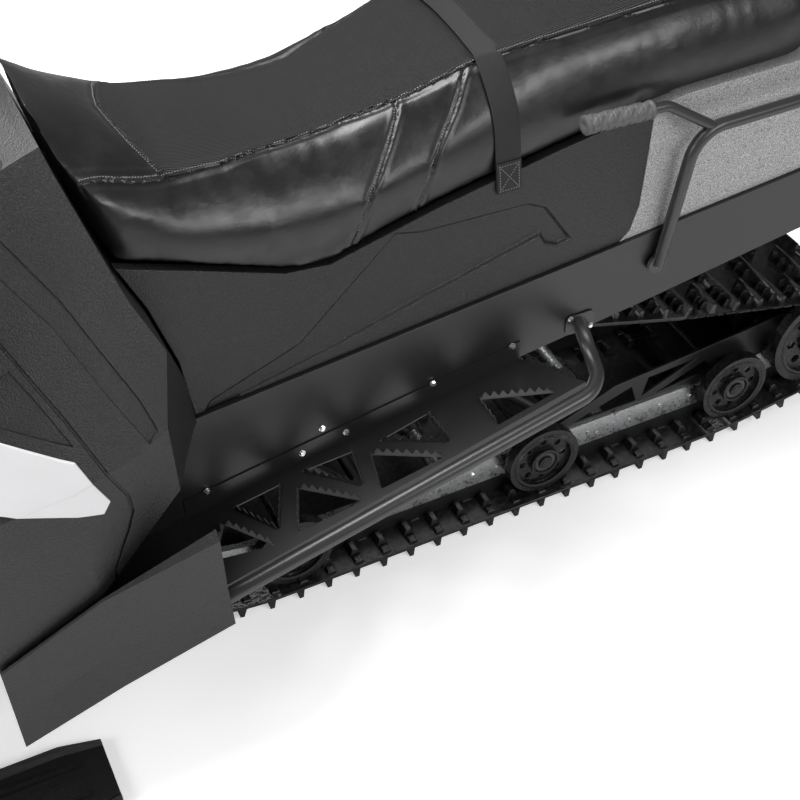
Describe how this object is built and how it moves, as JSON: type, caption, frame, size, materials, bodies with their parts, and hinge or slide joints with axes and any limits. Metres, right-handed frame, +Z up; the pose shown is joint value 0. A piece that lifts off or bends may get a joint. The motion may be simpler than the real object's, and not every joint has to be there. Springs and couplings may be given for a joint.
{
  "type": "snowmobile",
  "caption": "Touring snowmobile with a rubber track under a sheet-metal tunnel, steerable skis, a long seat with pillion hump and strap, open running boards, rear rack.",
  "frame": {"origin": "on the ground under the middle of the machine's box", "axes": "+X forward, +Y to the rider's left, +Z up"},
  "size_m": [3.22, 1.154, 1.44],
  "materials": {
    "dark_paint": "satin",
    "silver_paint": "satin",
    "pale_trim": "semi-gloss",
    "body_plastic": "matte, fine grain",
    "hard_plastic": "matte",
    "track_rubber": "matte",
    "grip_rubber": "matte",
    "rail_alloy": "satin",
    "steel": "brushed",
    "seat_cover": "semi-gloss vinyl",
    "webbing": "woven",
    "clear_shield": "smoked",
    "lamp_lens": "clear",
    "tail_lens": "gloss",
    "engine_block": "cast"
  },
  "bodies": {
    "chassis": {"track": "track_rubber", "sliders": "hard_plastic", "slide_rails": "rail_alloy", "rail_plates": "dark_paint", "bogie_wheels": "hard_plastic", "rear_axle": "hard_plastic", "drive_axle": "hard_plastic", "carrier_axle": "hard_plastic", "swing_arms": "dark_paint", "track_shocks": "steel", "tunnel": "dark_paint", "footboard_left": "dark_paint", "footboard_right": "dark_paint", "board_tubes": "dark_paint", "foot_well_left": "body_plastic", "foot_well_right": "body_plastic", "console": "body_plastic", "hood": "body_plastic", "side_panel_left": "body_plastic", "side_panel_right": "body_plastic", "side_trims": "pale_trim", "headlamps": "lamp_lens", "bulkhead": "dark_paint", "engine": "engine_block", "front_arms": "dark_paint", "ski_shocks": "steel", "windshield": "clear_shield", "dash": "hard_plastic", "belly_pan": "hard_plastic", "front_bumper": "dark_paint", "seat_cushion": "seat_cover", "seat_panel_left": "body_plastic", "seat_panel_right": "body_plastic", "tail_fairing": "silver_paint", "seat_strap": "webbing", "rack": "dark_paint", "passenger_grips": "grip_rubber", "tail_lamp": "tail_lens", "snow_flap": "hard_plastic"},
    "handlebar": {"handlebar": "dark_paint", "hand_grips": "grip_rubber", "hand_levers": "hard_plastic"},
    "ski_left": {"ski_left": "hard_plastic", "spindle_left": "steel"},
    "ski_right": {"ski_right": "hard_plastic", "spindle_right": "steel"},
    "pitman": {"steering_arm": "steel"},
    "tie_rod_left": {"tie_rod_left": "steel"},
    "tie_rod_right": {"tie_rod_right": "steel"}
  },
  "joints": [
    {"name": "steer", "type": "hinge", "parent": "chassis", "child": "handlebar", "pos_m": [0.64, 0, 1.3], "axis": [-0.3487, 0, 0.9373], "range_deg": [-35, 35]},
    {"name": "ski_turn_left", "type": "hinge", "parent": "chassis", "child": "ski_left", "pos_m": [1.089, 0.452, 0.205], "axis": [-0.1961, 0, 0.9806], "range_deg": [-28.5, 28.5]},
    {"name": "ski_turn_right", "type": "hinge", "parent": "chassis", "child": "ski_right", "pos_m": [1.089, -0.452, 0.205], "axis": [-0.1961, 0, 0.9806], "range_deg": [-28.5, 28.5]},
    {"name": "pitman_turn", "type": "hinge", "parent": "chassis", "child": "pitman", "pos_m": [1.074, 0, 0.28], "axis": [-0.1961, 0, 0.9806], "range_deg": [-28.5, 28.5]},
    {"name": "tie_turn_left", "type": "hinge", "parent": "pitman", "child": "tie_rod_left", "pos_m": [1.01517, 0.024, 0.26823], "axis": [-0.1961, 0, 0.9806], "range_deg": [-28.5, 28.5]},
    {"name": "tie_turn_right", "type": "hinge", "parent": "pitman", "child": "tie_rod_right", "pos_m": [1.01517, -0.024, 0.26823], "axis": [-0.1961, 0, 0.9806], "range_deg": [-28.5, 28.5]}
  ],
  "couplings": [
    {"joint": "ski_turn_left", "follows": "steer", "ratio": 0.8},
    {"joint": "ski_turn_right", "follows": "steer", "ratio": 0.8},
    {"joint": "pitman_turn", "follows": "steer", "ratio": 0.8},
    {"joint": "tie_turn_left", "follows": "steer", "ratio": -0.8},
    {"joint": "tie_turn_right", "follows": "steer", "ratio": -0.8}
  ]
}
